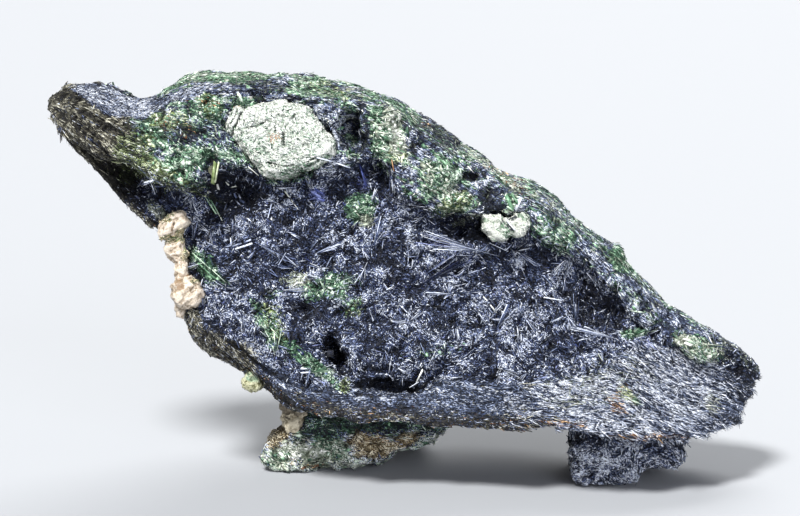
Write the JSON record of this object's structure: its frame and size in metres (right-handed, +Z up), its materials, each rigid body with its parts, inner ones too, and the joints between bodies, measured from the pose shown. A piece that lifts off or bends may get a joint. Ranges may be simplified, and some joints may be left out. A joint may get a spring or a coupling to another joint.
{
  "type": "glaucophane schist specimen",
  "caption": "Hand specimen of glaucophane schist: a long shard with a needle-filled broken face, a green mica crest and pale crystals, standing on two feet of its own rock.",
  "frame": {"origin": "middle of the specimen's bounding box, on the surface it stands on", "axes": "+Z up, +X along the rock towards its pointed lower tip, -Y out of the broken face"},
  "size_m": [0.1, 0.0414, 0.0561],
  "materials": {
    "schist": "satin",
    "pale_green": "satin",
    "cream": "satin",
    "calcite": "satin",
    "yellow_calcite": "satin",
    "grey_calcite": "satin",
    "olive": "satin"
  },
  "bodies": {
    "root": {"glaucophane_schist": "schist", "pale_green_crystal": "pale_green", "cream_crystal_pair": "cream", "calcite_vein": "calcite", "calcite_rim_knob": "yellow_calcite", "calcite_foot_block": "grey_calcite", "spear_crystal": "olive"}
  },
  "joints": []
}
